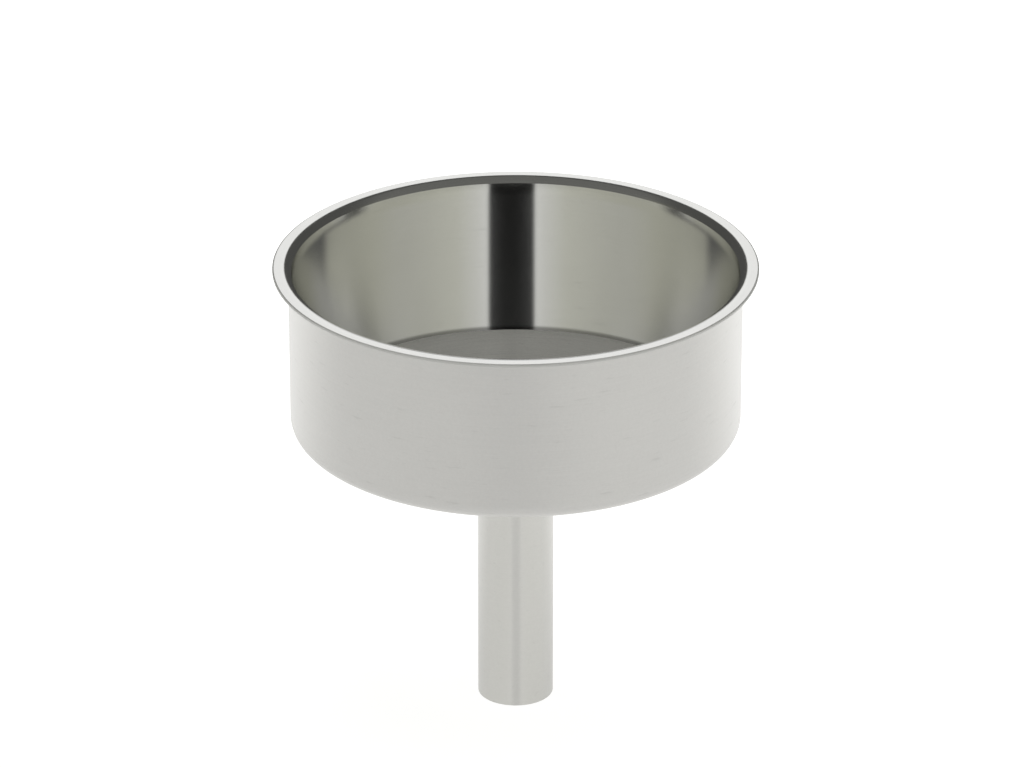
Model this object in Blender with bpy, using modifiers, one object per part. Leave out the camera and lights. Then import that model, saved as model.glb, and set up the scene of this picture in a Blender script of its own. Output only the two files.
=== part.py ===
"""A stainless filter funnel: a straight-walled bowl with an out-turned rim, a narrow straight spout and a perforated plate.

The origin is the centre of the spout's outlet and +Z is the axis of turning, up towards the bowl's mouth.
"""

import math

import bmesh
import bpy
from mathutils import Matrix

MM = 0.001

# Driving dimensions. Every height is measured up from the spout's outlet.
HEIGHT = 68.8 * MM  # outlet to the top face of the rim
RIM_RADIUS = 35.0 * MM
WALL_RADIUS = 32.75 * MM  # outside of the bowl's straight wall
BOWL_DEPTH = 25.3 * MM  # top of the rim to the underside of the bottom corner
SHEET = 0.5 * MM  # thickness of the bowl and of the spout's wall
RIM_BEND = 0.55 * MM  # radius under the rim, where the wall turns outwards
CORNER_BEND = 1.7 * MM  # radius inside the bottom corner
NECK_BEND = 0.7 * MM  # radius under the floor, where it turns down into the neck
FLOOR_SLOPE = math.radians(6.0)  # the floor falls this much towards the spout, so that it drains
SPOUT_RADIUS = 5.55 * MM  # outside of the spout
NECK_LENGTH = 3.4 * MM  # from the neck's bend down to its lower end
FLARE_WIDTH = 1.3 * MM  # straight part of the spout's flared top
PLATE_RADIUS = 31.1 * MM
PLATE_SHEET = 0.4 * MM
PLATE_DROP = 24.05 * MM  # top of the rim down to the plate's top face
HOLE_RADIUS = 0.65 * MM
HOLE_PITCH = 3.8 * MM  # between rings of holes, and about the distance between holes in a ring
HOLE_RINGS = 5  # ring k holds 6 k holes
GAP = 0.3 * MM  # between pieces that rest on each other
EDGE = 0.18 * MM  # rounding of the rim's cut edge
CHAMFER = 0.12 * MM  # on the cut ends of the spout and the neck

BOWL_STEPS = 64
SPOUT_STEPS = 24
HOLE_SIDES = 6

# Places that follow from them.
INNER_RADIUS = WALL_RADIUS - SHEET
BORE_RADIUS = SPOUT_RADIUS - SHEET
NECK_RADIUS = SPOUT_RADIUS + GAP  # inside of the neck
DOWN_SLOPE = FLOOR_SLOPE - math.pi / 2  # direction square to the floor, pointing down
UP_SLOPE = FLOOR_SLOPE + math.pi / 2  # direction square to the floor, pointing up


def along(centre, radius, angle):
    """The point at this angle on a circle in the (radius, height) half-plane."""
    return centre[0] + radius * math.cos(angle), centre[1] + radius * math.sin(angle)


def arc(centre, radius, start, end, segments):
    """Points of an arc in the (radius, height) half-plane, both ends included."""
    return [along(centre, radius, start + (end - start) * i / segments) for i in range(segments + 1)]


def rim_centre():
    """Centre of the bend between the wall and the rim."""
    return WALL_RADIUS + RIM_BEND, HEIGHT - SHEET - RIM_BEND


def corner_centre():
    """Centre of the bend between the wall and the floor."""
    return INNER_RADIUS - CORNER_BEND, HEIGHT - BOWL_DEPTH + SHEET + CORNER_BEND


def neck_centre():
    """Centre of the bend between the floor and the neck: the floor's straight slope joins it to the corner's bend."""
    bend = NECK_BEND + SHEET
    radius = NECK_RADIUS + bend
    outer_end = along(corner_centre(), CORNER_BEND, DOWN_SLOPE)
    inner_end_radius = along((radius, 0.0), bend, UP_SLOPE)[0]
    inner_end_height = outer_end[1] - (outer_end[0] - inner_end_radius) * math.tan(FLOOR_SLOPE)
    return radius, inner_end_height - bend * math.sin(UP_SLOPE)


def bowl_outline():
    """The cut sheet of the bowl: down its outer side to the neck's end, and back up its inner side."""
    rim, corner, neck = rim_centre(), corner_centre(), neck_centre()
    edge_radius = RIM_RADIUS - EDGE
    neck_end = neck[1] - NECK_LENGTH
    points = arc((edge_radius, HEIGHT - EDGE), EDGE, math.pi / 2, 0.0, 2)
    points += arc((edge_radius, HEIGHT - SHEET + EDGE), EDGE, 0.0, -math.pi / 2, 2)
    points += arc(rim, RIM_BEND, math.pi / 2, math.pi, 3)
    points += arc(corner, CORNER_BEND + SHEET, 0.0, DOWN_SLOPE, 5)
    points += arc(neck, NECK_BEND, UP_SLOPE, math.pi, 3)
    points += [
        (NECK_RADIUS + SHEET, neck_end + CHAMFER),
        (NECK_RADIUS + SHEET - CHAMFER, neck_end),
        (NECK_RADIUS, neck_end),
    ]
    points += arc(neck, NECK_BEND + SHEET, math.pi, UP_SLOPE, 4)
    points += arc(corner, CORNER_BEND, DOWN_SLOPE, 0.0, 5)
    points += arc(rim, RIM_BEND + SHEET, math.pi, math.pi / 2, 4)
    return points


def spout_outline():
    """The cut wall of the spout. Its flared top lies over the floor round the neck, a gap above it."""
    bend = neck_centre()
    under, over = NECK_BEND + SHEET + GAP, NECK_BEND + SHEET + GAP + SHEET
    run = FLARE_WIDTH * math.cos(FLOOR_SLOPE), FLARE_WIDTH * math.sin(FLOOR_SLOPE)
    flare_top = along(bend, over, UP_SLOPE)
    flare_under = along(bend, under, UP_SLOPE)
    points = [
        (flare_top[0] + run[0], flare_top[1] + run[1]),
        (flare_under[0] + run[0], flare_under[1] + run[1]),
    ]
    points += arc(bend, under, UP_SLOPE, math.pi, 4)
    points += [
        (SPOUT_RADIUS, CHAMFER),
        (SPOUT_RADIUS - CHAMFER, 0.0),
        (BORE_RADIUS + CHAMFER, 0.0),
        (BORE_RADIUS, CHAMFER),
    ]
    points += arc(bend, over, math.pi, UP_SLOPE, 4)
    return points


def steel(name, colour, roughness):
    """A brushed stainless material: one Principled BSDF."""
    material = bpy.data.materials.new(name)
    material.use_nodes = True
    shader = material.node_tree.nodes["Principled BSDF"]
    shader.inputs["Base Color"].default_value = (*colour, 1.0)
    shader.inputs["Metallic"].default_value = 1.0
    shader.inputs["Roughness"].default_value = roughness
    return material


def evaluated_mesh(obj):
    """The object's mesh with its modifiers applied."""
    bpy.context.view_layer.update()
    graph = bpy.context.evaluated_depsgraph_get()
    return bpy.data.meshes.new_from_object(obj.evaluated_get(graph))


def finish(obj, material):
    """Applies the modifiers, shades the round faces smooth and gives the piece its material."""
    mesh = evaluated_mesh(obj)
    obj.modifiers.clear()
    obj.data = mesh
    mesh.shade_smooth()
    mesh.set_sharp_from_angle(angle=math.radians(35.0))
    mesh.materials.clear()
    mesh.materials.append(material)


def turned(name, outline, steps, collection):
    """A closed outline in the (radius, height) half-plane, turned once round Z by a Screw modifier."""
    mesh = bpy.data.meshes.new(name)
    count = len(outline)
    vertices = [(radius, 0.0, height) for radius, height in outline]
    mesh.from_pydata(vertices, [(i, (i + 1) % count) for i in range(count)], [])
    obj = bpy.data.objects.new(name, mesh)
    collection.objects.link(obj)
    screw = obj.modifiers.new("turn", "SCREW")
    screw.steps = screw.render_steps = steps
    screw.use_merge_vertices = True
    screw.merge_threshold = 0.00001
    return obj


def add_cylinder(bm, radius, length, sides, x, y, z):
    """A closed cylinder about the vertical line through (x, y), with its middle at height z."""
    bmesh.ops.create_cone(
        bm,
        cap_ends=True,
        segments=sides,
        radius1=radius,
        radius2=radius,
        depth=length,
        matrix=Matrix.Translation((x, y, z)),
    )


def mesh_object(name, bm, collection):
    mesh = bpy.data.meshes.new(name)
    bm.to_mesh(mesh)
    bm.free()
    obj = bpy.data.objects.new(name, mesh)
    collection.objects.link(obj)
    return obj


def hole_places():
    """(x, y) of every hole: one in the middle, then rings of 6, 12, 18 and so on."""
    places = [(0.0, 0.0)]
    for ring in range(1, HOLE_RINGS + 1):
        for i in range(6 * ring):
            turn = 2.0 * math.pi * (i + 0.5 * (ring % 2)) / (6 * ring)
            places.append((ring * HOLE_PITCH * math.cos(turn), ring * HOLE_PITCH * math.sin(turn)))
    return places


def perforated_plate(name, collection, cutters):
    """A thin disc above the floor, with its holes cut by one Boolean."""
    middle = HEIGHT - PLATE_DROP - PLATE_SHEET / 2
    bm = bmesh.new()
    add_cylinder(bm, PLATE_RADIUS, PLATE_SHEET, BOWL_STEPS, 0.0, 0.0, middle)
    plate = mesh_object(name, bm, collection)
    bm = bmesh.new()
    for x, y in hole_places():
        add_cylinder(bm, HOLE_RADIUS, 3.0 * PLATE_SHEET, HOLE_SIDES, x, y, middle)
    punches = mesh_object("hole_punches", bm, cutters)
    punches.hide_render = True
    punches.display_type = "WIRE"
    cut = plate.modifiers.new("holes", "BOOLEAN")
    cut.operation = "DIFFERENCE"
    cut.object = punches
    return plate


def new_collection(name):
    collection = bpy.data.collections.new(name)
    bpy.context.scene.collection.children.link(collection)
    return collection


def main():
    for obj in list(bpy.data.objects):
        bpy.data.objects.remove(obj)
    parts = new_collection("funnel")
    cutters = new_collection("cutters")

    bowl = turned("bowl", bowl_outline(), BOWL_STEPS, parts)
    finish(bowl, steel("satin_steel", (0.62, 0.61, 0.58), 0.30))

    spout = turned("spout_tube", spout_outline(), SPOUT_STEPS, parts)
    finish(spout, steel("tube_steel", (0.64, 0.63, 0.60), 0.28))

    plate = perforated_plate("filter_plate", parts, cutters)
    finish(plate, steel("plate_steel", (0.50, 0.49, 0.47), 0.38))


main()
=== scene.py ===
"""The looks of the stainless filter funnel: brushed steel on a white table, in a soft studio.

Lengths are in metres. The camera stands on the funnel's -Y side and looks along +Y.
"""

import math

import bmesh
import bpy
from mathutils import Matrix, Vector


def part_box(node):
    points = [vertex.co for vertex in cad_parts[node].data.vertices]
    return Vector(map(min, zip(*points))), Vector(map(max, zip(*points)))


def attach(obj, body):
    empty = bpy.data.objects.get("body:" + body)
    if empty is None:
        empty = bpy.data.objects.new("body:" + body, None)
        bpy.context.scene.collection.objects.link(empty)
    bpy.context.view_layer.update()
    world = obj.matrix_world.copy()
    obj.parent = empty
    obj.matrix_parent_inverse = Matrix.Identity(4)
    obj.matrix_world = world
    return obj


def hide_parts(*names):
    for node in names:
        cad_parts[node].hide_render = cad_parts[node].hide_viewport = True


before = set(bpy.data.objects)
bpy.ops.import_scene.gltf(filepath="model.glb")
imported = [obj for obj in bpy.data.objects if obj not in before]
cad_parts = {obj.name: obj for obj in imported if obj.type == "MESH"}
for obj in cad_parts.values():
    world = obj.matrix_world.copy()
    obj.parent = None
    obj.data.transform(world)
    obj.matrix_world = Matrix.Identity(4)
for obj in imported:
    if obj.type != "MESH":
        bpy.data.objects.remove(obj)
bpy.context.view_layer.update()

MM = 0.001

# The same design as the CAD, with the gaps between its pieces closed.
# Every height is measured up from the spout's outlet.
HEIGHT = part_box("bowl")[1].z  # outlet to the top face of the rim
RIM_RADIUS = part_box("bowl")[1].x
WALL_RADIUS = 32.75 * MM  # outside of the bowl's straight wall
BOWL_DEPTH = 25.3 * MM  # top of the rim to the underside of the bottom corner
SHEET = 0.5 * MM  # thickness of the bowl and of the spout's wall
RIM_BEND = 0.55 * MM  # radius under the rim, where the wall turns outwards
CORNER_BEND = 1.7 * MM  # radius inside the bottom corner
NECK_BEND = 0.7 * MM  # radius under the floor, where it turns down into the neck
FLOOR_SLOPE = math.radians(6.0)  # the floor falls this much towards the spout
SPOUT_RADIUS = 5.55 * MM  # outside of the spout
NECK_LENGTH = 3.4 * MM  # from the neck's bend down to its lower end
FLARE_WIDTH = 1.3 * MM  # straight part of the spout's flared top
PLATE_RADIUS = 31.35 * MM
PLATE_SHEET = 0.4 * MM
PLATE_DROP = 24.25 * MM  # top of the rim down to the plate's top face
HOLE_RADIUS = 0.65 * MM
HOLE_PITCH = 3.8 * MM  # between rings of holes, and about the distance between holes in a ring
HOLE_RINGS = 5  # ring k holds 6 k holes
FIT = 0.02 * MM  # between pieces that are pressed together

# Rounding of cut edges.
EDGE = 0.18 * MM  # on the rim
NECK_LIP = 0.12 * MM
SPOUT_LIP = 0.1 * MM
PUNCH_ROUND = 0.07 * MM  # on the plate and its holes

# Places that follow from them.
INNER_RADIUS = WALL_RADIUS - SHEET
BORE_RADIUS = SPOUT_RADIUS - SHEET
NECK_RADIUS = SPOUT_RADIUS + FIT  # inside of the neck
RIM_START = WALL_RADIUS + RIM_BEND  # where the flat of the rim starts
BOWL_BOTTOM = HEIGHT - BOWL_DEPTH
PLATE_TOP = HEIGHT - PLATE_DROP
DOWN_SLOPE = FLOOR_SLOPE - math.pi / 2  # direction square to the floor, pointing down
UP_SLOPE = FLOOR_SLOPE + math.pi / 2  # direction square to the floor, pointing up


def new_object(name, data):
    obj = bpy.data.objects.new(name, data)
    bpy.context.scene.collection.objects.link(obj)
    return obj


# ---------------------------------------------------------------- camera

CAMERA_DISTANCE = 0.7958  # to the middle of the bowl's mouth
CAMERA_ELEVATION = math.radians(23.39)
AIM_BELOW_MOUTH = 18.95 * MM
AIM_LEFT = 0.53 * MM
LENS_MM = 194.6
SENSOR_MM = 36.0
NEAR_LIMIT = 0.01


def add_camera():
    """The camera stands in front of the mouth and above it, and aims a little below and left of it."""
    camera = new_object("camera", bpy.data.cameras.new("camera"))
    camera.data.lens = LENS_MM
    camera.data.sensor_width = SENSOR_MM
    camera.data.clip_start = NEAR_LIMIT
    mouth = Vector((0.0, 0.0, HEIGHT))
    back = Vector((0.0, -math.cos(CAMERA_ELEVATION), math.sin(CAMERA_ELEVATION)))
    camera.location = mouth + CAMERA_DISTANCE * back
    aim = mouth - Vector((AIM_LEFT, 0.0, AIM_BELOW_MOUTH))
    camera.rotation_mode = "QUATERNION"
    camera.rotation_quaternion = (aim - camera.location).to_track_quat("-Z", "Y")
    bpy.context.scene.camera = camera


# ---------------------------------------------------------------- outlines

BEND_SEGMENTS = 14
EDGE_SEGMENTS = 6
LIP_SEGMENTS = 5
FLARE_SEGMENTS = 10
LONG_GAP = 0.4 * MM  # a straight stretch that is longer gets points of its own
GAP_MARGIN = 0.08 * MM  # from its ends to the first and the last of them


def along(centre, radius, angle):
    """The point at this angle on a circle."""
    return centre[0] + radius * math.cos(angle), centre[1] + radius * math.sin(angle)


def arc(centre, radius, start, end, segments=BEND_SEGMENTS):
    """Points of an arc, both ends included. In an outline a point is a radius and a height."""
    return [along(centre, radius, start + (end - start) * i / segments) for i in range(segments + 1)]


def between(first, last, share):
    """The point this share of the way from the first to the last."""
    return first[0] + (last[0] - first[0]) * share, first[1] + (last[1] - first[1]) * share


def joined(*stretches):
    """One outline from several stretches, with a few points added on each straight gap between them."""
    outline = []
    for i, stretch in enumerate(stretches):
        outline += stretch
        first = stretch[-1]
        last = stretches[(i + 1) % len(stretches)][0]
        gap = math.dist(first, last)
        if gap > LONG_GAP:
            margin = GAP_MARGIN / gap
            outline += [between(first, last, share) for share in (margin, 0.25, 0.5, 0.75, 1.0 - margin)]
    return outline


def tube_end(inner, outer, height, lip):
    """The lower end of a tube's wall: the rounding of its outer edge and that of its inner edge."""
    return (
        arc((outer - lip, height + lip), lip, 0.0, -math.pi / 2, LIP_SEGMENTS),
        arc((inner + lip, height + lip), lip, -math.pi / 2, -math.pi, LIP_SEGMENTS),
    )


def rim_centre():
    """Centre of the bend between the wall and the rim."""
    return RIM_START, HEIGHT - SHEET - RIM_BEND


def corner_centre():
    """Centre of the bend between the wall and the floor."""
    return INNER_RADIUS - CORNER_BEND, BOWL_BOTTOM + SHEET + CORNER_BEND


def neck_centre():
    """Centre of the bend between the floor and the neck: the floor's slope joins it to the corner's bend."""
    bend = NECK_BEND + SHEET
    radius = NECK_RADIUS + bend
    outer_end = along(corner_centre(), CORNER_BEND, DOWN_SLOPE)
    inner_end_radius = along((radius, 0.0), bend, UP_SLOPE)[0]
    inner_end_height = outer_end[1] - (outer_end[0] - inner_end_radius) * math.tan(FLOOR_SLOPE)
    return radius, inner_end_height - bend * math.sin(UP_SLOPE)


def bowl_outline():
    """The cut sheet of the bowl: down its outer side to the neck's end, and back up its inner side."""
    rim, corner, neck = rim_centre(), corner_centre(), neck_centre()
    edge_radius = RIM_RADIUS - EDGE
    return joined(
        arc((edge_radius, HEIGHT - EDGE), EDGE, math.pi / 2, 0.0, EDGE_SEGMENTS),
        arc((edge_radius, HEIGHT - SHEET + EDGE), EDGE, 0.0, -math.pi / 2, EDGE_SEGMENTS),
        arc(rim, RIM_BEND, math.pi / 2, math.pi),
        arc(corner, CORNER_BEND + SHEET, 0.0, DOWN_SLOPE),
        arc(neck, NECK_BEND, UP_SLOPE, math.pi),
        *tube_end(NECK_RADIUS, NECK_RADIUS + SHEET, neck[1] - NECK_LENGTH, NECK_LIP),
        arc(neck, NECK_BEND + SHEET, math.pi, UP_SLOPE),
        arc(corner, CORNER_BEND, DOWN_SLOPE, 0.0),
        arc(rim, RIM_BEND + SHEET, math.pi, math.pi / 2),
    )


def spout_outline():
    """The cut wall of the spout. Its flared top lies on the floor round the neck."""
    bend = neck_centre()
    under = NECK_BEND + SHEET + FIT
    over = under + SHEET
    flare_start = along(bend, (under + over) / 2, UP_SLOPE)
    flare_end = along(flare_start, FLARE_WIDTH, FLOOR_SLOPE)
    return joined(
        arc(flare_end, SHEET / 2, UP_SLOPE, UP_SLOPE - math.pi, FLARE_SEGMENTS),
        arc(bend, under, UP_SLOPE, math.pi),
        *tube_end(BORE_RADIUS, SPOUT_RADIUS, 0.0, SPOUT_LIP),
        arc(bend, over, math.pi, UP_SLOPE),
    )


# ---------------------------------------------------------------- turned pieces

BOWL_STEPS = 288
SPOUT_STEPS = 128
TURN_MERGE = 0.001 * MM
FLAT_WEIGHT = 60  # over 50, so that the larger faces decide the shading next to them


def evaluated_mesh(obj):
    """The object's mesh with its modifiers applied."""
    bpy.context.view_layer.update()
    graph = bpy.context.evaluated_depsgraph_get()
    return bpy.data.meshes.new_from_object(obj.evaluated_get(graph))


def apply_modifiers(obj):
    mesh = evaluated_mesh(obj)
    obj.modifiers.clear()
    obj.data = mesh


def soften(obj):
    """Smooth shading whose flats stay flat next to their rounded edges."""
    obj.data.shade_smooth()
    weighted = obj.modifiers.new("flats", "WEIGHTED_NORMAL")
    weighted.mode = "FACE_AREA"
    weighted.weight = FLAT_WEIGHT
    apply_modifiers(obj)


def turned(name, outline, steps):
    """A closed outline, turned once round Z."""
    mesh = bpy.data.meshes.new(name)
    count = len(outline)
    vertices = [(radius, 0.0, height) for radius, height in outline]
    mesh.from_pydata(vertices, [(i, (i + 1) % count) for i in range(count)], [])
    obj = new_object(name, mesh)
    screw = obj.modifiers.new("turn", "SCREW")
    screw.steps = screw.render_steps = steps
    screw.use_merge_vertices = True
    screw.merge_threshold = TURN_MERGE
    apply_modifiers(obj)
    soften(obj)
    return obj


# ---------------------------------------------------------------- the perforated plate

HOLE_SIDES = 20
PLATE_SIDES = 288
PUNCH_SEGMENTS = 3
PLATE_MERGE = 0.002 * MM


def hole_places():
    """(x, y) of every hole: one in the middle, then rings of 6, 12, 18 and so on."""
    places = [(0.0, 0.0)]
    for ring in range(1, HOLE_RINGS + 1):
        count = 6 * ring
        shift = 0.5 * (ring % 2)
        for i in range(count):
            places.append(along((0.0, 0.0), ring * HOLE_PITCH, math.tau * (i + shift) / count))
    return places


def add_ring(curve, centre, radius, sides):
    """Adds a closed polygon to a flat curve."""
    spline = curve.splines.new("POLY")
    spline.points.add(sides - 1)
    for i, point in enumerate(spline.points):
        point.co = (*along(centre, radius, math.tau * i / sides), 0.0, 1.0)
    spline.use_cyclic_u = True


def punched_outline(name):
    """The filled outline of a disc with every hole in it, its cut edges rounded by the curve's bevel."""
    curve = bpy.data.curves.new(name, "CURVE")
    curve.dimensions = "2D"
    curve.fill_mode = "BOTH"
    curve.extrude = PLATE_SHEET / 2 - PUNCH_ROUND
    curve.bevel_depth = PUNCH_ROUND
    curve.bevel_resolution = PUNCH_SEGMENTS
    curve.offset = -PUNCH_ROUND
    add_ring(curve, (0.0, 0.0), PLATE_RADIUS, PLATE_SIDES)
    for place in hole_places():
        add_ring(curve, place, HOLE_RADIUS, HOLE_SIDES)
    return new_object(name + "_outline", curve)


def perforated_plate(name):
    """The punched disc as one welded mesh, at its height in the bowl."""
    outline = punched_outline(name)
    mesh = evaluated_mesh(outline)
    bpy.data.objects.remove(outline)
    bm = bmesh.new()
    bm.from_mesh(mesh)
    bmesh.ops.remove_doubles(bm, verts=bm.verts, dist=PLATE_MERGE)
    bmesh.ops.recalc_face_normals(bm, faces=bm.faces)
    bmesh.ops.translate(bm, verts=bm.verts, vec=(0.0, 0.0, PLATE_TOP - PLATE_SHEET / 2))
    bm.to_mesh(mesh)
    bm.free()
    plate = new_object(name, mesh)
    soften(plate)
    return plate


# ---------------------------------------------------------------- node trees

# A Mix node has these sockets for colours.
MIX_FIRST, MIX_SECOND, MIX_RESULT = 6, 7, 2


class Nodes:
    """Short calls for building a node tree. What they take is a number, a colour, a vector or a socket."""

    def __init__(self, tree):
        self.tree = tree

    def fill(self, node, values):
        """Gives the node's inputs these values, by name or by index."""
        for key, value in dict(values).items():
            if isinstance(value, bpy.types.NodeSocket):
                self.tree.links.new(value, node.inputs[key])
            else:
                node.inputs[key].default_value = value

    def add(self, kind, values=(), **settings):
        node = self.tree.nodes.new(kind)
        for key, value in settings.items():
            setattr(node, key, value)
        self.fill(node, values)
        return node

    def maths(self, operation, a, b=0.0, clamp=False):
        return self.add("ShaderNodeMath", {0: a, 1: b}, operation=operation, use_clamp=clamp).outputs[0]

    def vector(self, operation, *vectors):
        return self.add("ShaderNodeVectorMath", enumerate(vectors), operation=operation).outputs["Vector"]

    def scaled(self, vector, scale):
        values = {0: vector, "Scale": scale}
        return self.add("ShaderNodeVectorMath", values, operation="SCALE").outputs["Vector"]

    def parts(self, vector):
        """The vector's X, Y and Z."""
        return self.add("ShaderNodeSeparateXYZ", {0: vector}).outputs

    def level(self, vector):
        """The vector without its upward part."""
        return self.vector("MULTIPLY", vector, (1.0, 1.0, 0.0))

    def point(self):
        """The point that is shaded, in metres of the object."""
        return self.add("ShaderNodeTexCoord").outputs["Object"]

    def height(self):
        return self.parts(self.point())["Z"]

    def radius(self):
        values = {0: self.level(self.point())}
        return self.add("ShaderNodeVectorMath", values, operation="LENGTH").outputs["Value"]

    def normal(self):
        return self.add("ShaderNodeNewGeometry").outputs["Normal"]

    def noise(self, scale, detail):
        """Noise of this scale per metre."""
        values = {"Vector": self.point(), "Scale": scale, "Detail": detail}
        return self.add("ShaderNodeTexNoise", values).outputs["Fac"]

    def rings(self, fine, around, detail=3.0):
        """Noise drawn out round the axis, as turning marks are.

        fine is its scale across the marks, per metre, and around is its scale along them, per radian.
        """
        heading = self.scaled(self.vector("NORMALIZE", self.level(self.point())), around)
        across = self.maths("MULTIPLY", self.radius(), fine)
        upright = self.add("ShaderNodeCombineXYZ", {"Z": across}).outputs["Vector"]
        values = {
            "Vector": self.vector("ADD", heading, upright),
            "W": self.maths("MULTIPLY", self.height(), fine),
            "Scale": 1.0,
            "Detail": detail,
        }
        return self.add("ShaderNodeTexNoise", values, noise_dimensions="4D").outputs["Fac"]

    def spread(self, value, low, high):
        """Maps 0 to 1 evenly to low to high."""
        values = {"Value": value, "To Min": low, "To Max": high}
        return self.add("ShaderNodeMapRange", values).outputs["Result"]

    def ease(self, value, start, end, low, high):
        """Maps start to end smoothly to low to high, with no change outside them."""
        values = {"Value": value, "From Min": start, "From Max": end, "To Min": low, "To Max": high}
        return self.add("ShaderNodeMapRange", values, interpolation_type="SMOOTHSTEP").outputs["Result"]

    def ramp(self, value, stops):
        """A colour that changes evenly from each (value, colour) to the next."""
        node = self.add("ShaderNodeValToRGB", {"Fac": value})
        elements = node.color_ramp.elements
        while len(elements) < len(stops):
            elements.new(0.5)
        for element, (place, colour) in zip(elements, stops):
            element.position = place
            element.color = (*colour, 1.0)
        return node.outputs["Color"]

    def mix(self, share, first, second):
        """The first colour where the share is 0, and the second where it is 1."""
        values = {"Factor": share, MIX_FIRST: first, MIX_SECOND: second}
        return self.add("ShaderNodeMix", values, data_type="RGBA").outputs[MIX_RESULT]


def new_material(name):
    """A material and the calls that build its nodes."""
    material = bpy.data.materials.new(name)
    material.use_nodes = True
    return material, Nodes(material.node_tree)


def grey(level):
    """A colour for a node's socket, with its alpha."""
    return level, level, level, 1.0


# ---------------------------------------------------------------- how the steel faces

# The inner wall and the mouth's bend mirror the room, and not the plate or the opposite wall: their normals
# are raised. They change only with the place on the bowl. A rise is the tangent of its angle.
WALL_RISE = math.tan(math.radians(29.0))
BEND_DEPTH = 0.8 * MM  # the mouth's bend has its own finish down to here, below the top of the rim
RISE_FADES_FROM = 3.0 * MM  # below the top of the rim: the wall's rise fades from here up to the bend
SHARE_AT_BEND = 0.5  # what is left of it there
BEND_RISE = 1.2  # on the mouth's bend, where it stands upright, and less where it lies flatter
RIM_ROLL = 0.12  # the rim's inner edge is rolled off towards the mouth
ROLL_WIDTH = 0.5 * MM


def tilted(n, normal, rise, lines, ripple):
    """The normal raised by this much, and rippled from one turning mark to the next.

    Where it points straight up, a rise below 0 turns it towards the axis.
    """
    around = n.vector("NORMALIZE", n.vector("CROSS_PRODUCT", (0.0, 0.0, 1.0), n.point()))
    across = n.vector("CROSS_PRODUCT", around, normal)
    mark = n.maths("MULTIPLY", n.maths("SUBTRACT", lines, 0.5), ripple)
    return n.vector("NORMALIZE", n.vector("ADD", normal, n.scaled(across, n.maths("ADD", rise, mark))))


def plain_normal(n, lines, ripple):
    return tilted(n, n.normal(), 0.0, lines, ripple)


def wall_normal(n, lines, ripple):
    """Inside the wall: level, raised by WALL_RISE, and by less just under the mouth's bend."""
    share = n.ease(n.height(), HEIGHT - RISE_FADES_FROM, HEIGHT - BEND_DEPTH, 1.0, SHARE_AT_BEND)
    level = n.vector("NORMALIZE", n.level(n.normal()))
    return tilted(n, level, n.maths("MULTIPLY", share, WALL_RISE), lines, ripple)


def bend_normal(n, lines, ripple):
    """On the mouth's bend: raised the more, the steeper the bend stands."""
    normal = n.normal()
    steep = n.maths("SUBTRACT", 1.0, n.parts(normal)["Z"], clamp=True)
    rise = n.maths("SUBTRACT", n.maths("MULTIPLY", steep, BEND_RISE), RIM_ROLL)
    return tilted(n, normal, rise, lines, ripple)


def rim_normal(n, lines, ripple):
    """On the flat rim: rolled off towards the mouth along its inner edge."""
    rise = n.ease(n.radius(), RIM_START, RIM_START + ROLL_WIDTH, -RIM_ROLL, 0.0)
    return tilted(n, n.normal(), rise, lines, ripple)


# ---------------------------------------------------------------- steel

# Scales of noise are per metre.
LINES_AROUND = 3.0
SCUFF_SCALE = 2200.0
SCUFF_AROUND = 9.0
SCUFF_START, SCUFF_FULL = 0.62, 0.72  # where in the noise a scuff starts and is full
CLOUD_SCALE = 110.0
GRAIN_SCALE = 2600.0

CLOUD_TONE = 0.04
SCUFF_TONE = 1.5  # how much darker a scuff is, for a wear of 1
CLOUD_DULLS = 0.07
SCUFF_DULLS = 0.15
ACROSS_THE_LINES = 0.25  # of a turn: highlights spread along the axis, across the turning marks


def steel_tone(n, lines, cloud, scuffs, wear, edge):
    """How light the steel is, about 1: turning marks, cloud, grain and scuffs, and a painted highlight or
    painted shade along an edge.
    """
    grain = n.noise(GRAIN_SCALE, detail=2.0)
    tone = n.maths("ADD", n.spread(lines, 1.0 - wear, 1.0 + wear), n.spread(cloud, -CLOUD_TONE, CLOUD_TONE))
    tone = n.maths("ADD", tone, n.spread(grain, -wear, wear))
    tone = n.maths("ADD", tone, n.maths("MULTIPLY", scuffs, -SCUFF_TONE * wear))
    if edge is None:
        return tone
    bottom, top, edge_tone = edge
    return n.maths("MULTIPLY", tone, n.ease(n.height(), bottom, top, edge_tone, 1.0))


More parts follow.
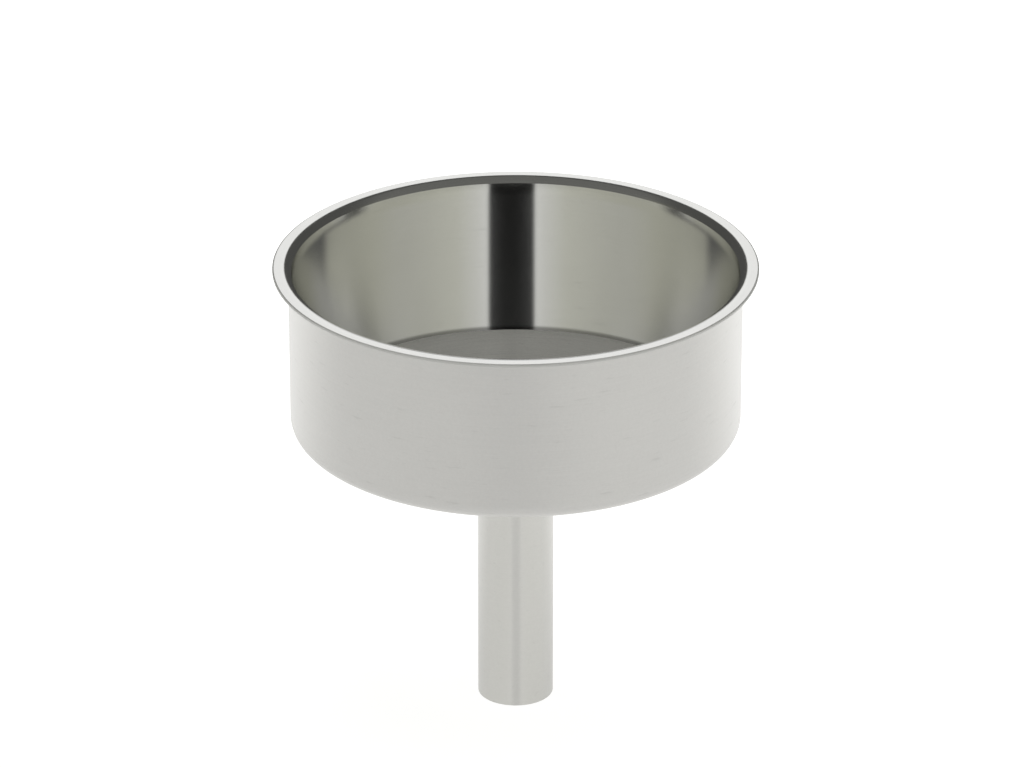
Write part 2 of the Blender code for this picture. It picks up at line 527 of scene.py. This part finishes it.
def steel(
    name,
    colour,
    roughness,
    anisotropic=0.0,
    ripple=0.02,
    fine=9000.0,
    tint=1.0,
    metallic=1.0,
    wear=0.03,
    edge=None,
    normal=plain_normal,
):
    """Turned steel, with turning marks of the scale fine round the axis.

    ripple is how much the normal sways from mark to mark, and wear how strong the marks, grain and scuffs
    are in the colour. tint is what a metal reflects at glancing angles. edge is a height, a higher one where
    the tone is the usual one, and the tone below the first: a painted highlight or painted shade along an
    edge.
    """
    material, n = new_material(name)
    lines = n.rings(fine, LINES_AROUND)
    cloud = n.noise(CLOUD_SCALE, detail=4.0)
    scuffs = n.ease(n.rings(SCUFF_SCALE, SCUFF_AROUND, detail=5.0), SCUFF_START, SCUFF_FULL, 0.0, 1.0)
    tone = steel_tone(n, lines, cloud, scuffs, wear, edge)
    dulled = n.spread(cloud, 1.0 - CLOUD_DULLS, 1.0 + CLOUD_DULLS)
    dulled = n.maths("ADD", dulled, n.maths("MULTIPLY", scuffs, SCUFF_DULLS))
    look = {
        "Base Color": n.scaled(colour, tone),
        "Metallic": metallic,
        "Roughness": n.maths("MULTIPLY", dulled, roughness),
        "Specular Tint": grey(tint),
        "Anisotropic": anisotropic,
        "Anisotropic Rotation": ACROSS_THE_LINES,
        "Tangent": n.add("ShaderNodeTangent", direction_type="RADIAL", axis="Z").outputs["Tangent"],
        "Normal": normal(n, lines, ripple),
    }
    n.fill(n.tree.nodes["Principled BSDF"], look)
    return material


def spout_finish():
    return steel("spout_satin", (0.65, 0.645, 0.62), 0.3, 1.0)


def plate_finish():
    colour = (0.71, 0.705, 0.66)
    return steel("plate_mill", colour, 0.34, 0.5, ripple=0.1, fine=1800.0, metallic=0.6, wear=0.1)


def dress(obj, *materials):
    obj.data.materials.clear()
    for material in materials:
        obj.data.materials.append(material)


# ---------------------------------------------------------------- the bowl's finishes

SATIN, WALL_INSIDE, MOUTH_BEND, RIM, CUT_EDGE, FLOOR = range(6)  # the order of bowl_finishes

# A height, a higher one, and the tone below the first.
PAINTED_CORNER_HIGHLIGHT = (BOWL_BOTTOM + 0.2 * MM, BOWL_BOTTOM + 1.6 * MM, 1.22)  # painted highlight: the steel is lighter along the bottom corner and below it
PAINTED_CREASE_SHADE = (PLATE_TOP, PLATE_TOP + 0.5 * MM, 0.4)  # painted shade: darker from just above the plate down into the corner

# How a face is told from its neighbours.
TOLERANCE = 0.1 * MM
FACES_UP = 0.95
FACES_AWAY = 0.001


def bowl_finishes():
    return (
        steel("bowl_satin", (0.52, 0.515, 0.5), 0.36, 0.5, wear=0.04, edge=PAINTED_CORNER_HIGHLIGHT),
        steel(
            "bowl_wall_inside", (0.85, 0.85, 0.83), 0.16, 1.0, tint=0.5, edge=PAINTED_CREASE_SHADE, normal=wall_normal
        ),
        steel("bowl_mouth_bend", (0.74, 0.74, 0.69), 0.2, normal=bend_normal),
        steel("bowl_rim", (0.57, 0.57, 0.555), 0.1, normal=rim_normal),
        steel("bowl_cut_edge", (0.5, 0.5, 0.485), 0.45, metallic=0.1),
        steel("bowl_floor", (0.5, 0.495, 0.47), 0.33, 0.5),
    )


def finish_at(radius, height, outwards, upwards):
    """Which of the bowl's finishes a face has, from its place and from how it faces."""
    if radius > RIM_RADIUS - EDGE:
        return CUT_EDGE
    if radius > RIM_START and height > HEIGHT - TOLERANCE and upwards > FACES_UP:
        return RIM
    if radius > RIM_START or outwards > FACES_AWAY or upwards < -FACES_AWAY:
        return SATIN
    if height > HEIGHT - BEND_DEPTH:
        return MOUTH_BEND
    return WALL_INSIDE if radius > PLATE_RADIUS - TOLERANCE else FLOOR


def finish_bowl(bowl):
    """Gives the bowl its materials, and each face the one for its place."""
    dress(bowl, *bowl_finishes())
    for face in bowl.data.polygons:
        x, y, height = face.center
        radius = math.hypot(x, y)
        outwards = (face.normal.x * x + face.normal.y * y) / radius
        face.material_index = finish_at(radius, height, outwards, face.normal.z)


# ---------------------------------------------------------------- table and lamp

TABLE_REACH = 3.0  # from the table's middle to its sides
TABLE_CELLS = 8
TABLE_GREY = 0.2  # most of the table's light is its own glow
TABLE_LIGHT = (1.0, 1.0, 0.99, 1.0)
GLOW = 0.93  # under the funnel
GLOW_START = 0.02  # from the middle, where the glow starts to change
GLOW_END = 0.13  # and where it stops
GLOW_RIGHT = 0.045  # more to the right, and as much less to the left
GLOW_BEHIND = 0.35
GLOW_ASIDE = 0.1

LAMP_WATTS = 3.0
LAMP_WIDTH = 0.6
LAMP_PLACE = (0.0, -0.1, 0.9)


def table_material():
    material, n = new_material("table_white")
    x, y, _ = n.parts(n.point())
    glow = n.ease(x, -GLOW_END, GLOW_END, -GLOW_RIGHT, GLOW_RIGHT)
    glow = n.maths("ADD", glow, n.ease(y, -GLOW_START, GLOW_END, 0.0, GLOW_BEHIND))
    glow = n.maths("ADD", glow, n.ease(n.maths("ABSOLUTE", x), GLOW_START, GLOW_END, 0.0, GLOW_ASIDE))
    look = {
        "Base Color": grey(TABLE_GREY),
        "Roughness": 1.0,
        "Specular IOR Level": 0.0,
        "Emission Color": TABLE_LIGHT,
        "Emission Strength": n.maths("ADD", glow, GLOW),
    }
    n.fill(n.tree.nodes["Principled BSDF"], look)
    return material


def add_table():
    bm = bmesh.new()
    bmesh.ops.create_grid(bm, x_segments=TABLE_CELLS, y_segments=TABLE_CELLS, size=TABLE_REACH)
    mesh = bpy.data.meshes.new("table_top")
    bm.to_mesh(mesh)
    bm.free()
    table = new_object("table_top", mesh)
    dress(table, table_material())


def add_lamp():
    """A soft lamp overhead, that lights the table and the dull plate and isn't mirrored in the steel."""
    lamp = bpy.data.lights.new("overhead", "AREA")
    lamp.shape = "DISK"
    lamp.size = LAMP_WIDTH
    lamp.energy = LAMP_WATTS
    overhead = new_object("overhead_lamp", lamp)
    overhead.location = LAMP_PLACE
    overhead.visible_glossy = False


# ---------------------------------------------------------------- studio

# The room is a sky with walls, a ceiling and a few zones that have levels of their own. A zone's two tables
# say how much of it there is at each azimuth and at each elevation, in degrees. Azimuth is the same to the
# left and to the right, and runs from the camera's side: from the opposite side for the panel only.
HALF_TURN = 180.0
QUARTER_TURN = 90.0
GAP_RIGHT = 0.033  # X of the direction, of length 1, to the middle of the dark gap

# The walls, by the heading of the inner wall that mirrors them to the camera: degrees, level, and how much
# blue is left. First comes the dark gap that the camera looks through, with a bright step beside it.
WALLS = [
    (0.0, 0.003, 1.0),
    (5.8, 0.003, 1.0),
    (6.2, 0.69, 0.97),
    (8.6, 0.6, 0.95),
    (14.5, 0.5, 0.88),
    (29.5, 0.385, 0.85),
    (51.0, 0.34, 0.85),
    (60.0, 0.33, 0.85),
    (180.0, 0.33, 0.85),
]
# The back is dark. The sides of the mouth's bend and of the inner wall mirror it.
BACK_AZIMUTH = [(0.0, 0.0), (111.0, 0.0), (117.0, 1.0), (180.0, 1.0)]
BACK_LEVEL = 0.08
# The back of the mouth's bend and the plate mirror the ceiling.
CEILING_ELEVATION = [(0.0, 0.0), (50.0, 0.0), (56.0, 1.0), (90.0, 1.0)]
CEILING_LEVEL = 0.15
# A lighter zone, high on both sides of the camera. The foot of the inner wall mirrors it beside the middle.
HIGH_AZIMUTH = [(0.0, 0.0), (5.0, 0.0), (11.0, 1.0), (66.0, 1.0), (82.0, 0.0), (180.0, 0.0)]
HIGH_ELEVATION = [(0.0, 0.0), (51.0, 0.0), (56.0, 1.0), (74.0, 1.0), (80.0, 0.0), (90.0, 0.0)]
HIGH_TILT = 0.35  # degrees that it stands lower for each degree of azimuth
HIGH_LEVEL = 0.46
# A dark strip, low at the sides and the back. It makes the dark crescents at the sides of the inner wall.
LOW_AZIMUTH = [(0.0, 0.0), (78.0, 0.0), (86.0, 1.0), (180.0, 1.0)]
LOW_ELEVATION = [(0.0, 1.0), (7.0, 1.0), (11.0, 0.0), (90.0, 0.0)]
LOW_LEVEL = 0.07
# A bright upright panel straight behind the funnel, that the flat of the rim mirrors.
PANEL_AZIMUTH = [(0.0, 1.0), (3.7, 1.0), (5.2, 0.0), (180.0, 0.0)]
PANEL_ELEVATION = [(0.0, 0.4), (14.0, 0.4), (18.0, 1.0), (30.0, 1.0), (33.0, 0.0), (90.0, 0.0)]
PANEL_LEVEL = 1.32


def half_turns(n, aside, forward):
    """The angle from straight forward, 0 to 1 for 0 to 180 degrees."""
    return n.maths("DIVIDE", n.maths("ARCTAN2", aside, forward), math.pi)


def share_by(n, value, full, table):
    """The level that a table of degrees gives for a value which is 1 at this many degrees."""
    return n.ramp(value, [(degrees / full, (level, level, level)) for degrees, level in table])


def wall_colour(n, wall_heading):
    stops = [(degrees / HALF_TURN, (level, level, level * blue)) for degrees, level, blue in WALLS]
    return n.ramp(wall_heading, stops)


def with_zone(n, room, azimuth, azimuths, elevation, elevations, level):
    """The room with a zone of this level in it."""
    sideways = share_by(n, azimuth, HALF_TURN, azimuths)
    upwards = share_by(n, elevation, QUARTER_TURN, elevations)
    return n.mix(n.maths("MULTIPLY", sideways, upwards), room, grey(level))


def room_light(n):
    """The room's light from each direction."""
    x, y, z = n.parts(n.add("ShaderNodeTexCoord").outputs["Generated"])
    aside = n.maths("ABSOLUTE", n.maths("SUBTRACT", x, GAP_RIGHT))
    azimuth = half_turns(n, aside, n.maths("MULTIPLY", y, -1.0))
    from_behind = half_turns(n, n.maths("ABSOLUTE", x), y)
    elevation = n.maths("DIVIDE", n.maths("ARCSINE", z), math.pi / 2)
    # A wall that mirrors this direction to the camera faces half way between it and the camera.
    wall_heading = half_turns(n, aside, n.maths("SUBTRACT", math.cos(CAMERA_ELEVATION), y))
    # The high zone stands lower, the further round it is. Azimuth is 1 at 180 degrees, and elevation at 90.
    tilted_elevation = n.maths("ADD", elevation, n.maths("MULTIPLY", azimuth, 2.0 * HIGH_TILT))

    room = wall_colour(n, wall_heading)
    room = n.mix(share_by(n, azimuth, HALF_TURN, BACK_AZIMUTH), room, grey(BACK_LEVEL))
    room = n.mix(share_by(n, elevation, QUARTER_TURN, CEILING_ELEVATION), room, grey(CEILING_LEVEL))
    room = with_zone(n, room, azimuth, HIGH_AZIMUTH, tilted_elevation, HIGH_ELEVATION, HIGH_LEVEL)
    room = with_zone(n, room, azimuth, LOW_AZIMUTH, elevation, LOW_ELEVATION, LOW_LEVEL)
    return with_zone(n, room, from_behind, PANEL_AZIMUTH, elevation, PANEL_ELEVATION, PANEL_LEVEL)


def add_studio():
    """The room as a sky. It lights the funnel and shows in it, and the camera sees plain white behind it."""
    world = bpy.data.worlds.new("studio")
    bpy.context.scene.world = world
    world.use_nodes = True
    n = Nodes(world.node_tree)
    n.tree.nodes.clear()
    seen = n.add("ShaderNodeLightPath").outputs["Is Camera Ray"]
    colour = n.mix(seen, room_light(n), grey(1.0))
    background = n.add("ShaderNodeBackground", {"Color": colour, "Strength": 1.0})
    n.add("ShaderNodeOutputWorld", {"Surface": background.outputs["Background"]})


# ---------------------------------------------------------------- the whole

add_camera()
add_studio()
add_table()
add_lamp()

bowl = turned("bowl_sheet", bowl_outline(), BOWL_STEPS)
finish_bowl(bowl)
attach(bowl, "root")
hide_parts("bowl")

spout = turned("spout_sheet", spout_outline(), SPOUT_STEPS)
dress(spout, spout_finish())
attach(spout, "root")
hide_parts("spout_tube")

plate = perforated_plate("plate_sheet")
dress(plate, plate_finish())
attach(plate, "root")
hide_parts("filter_plate")

bpy.context.scene.view_settings.view_transform = "Standard"
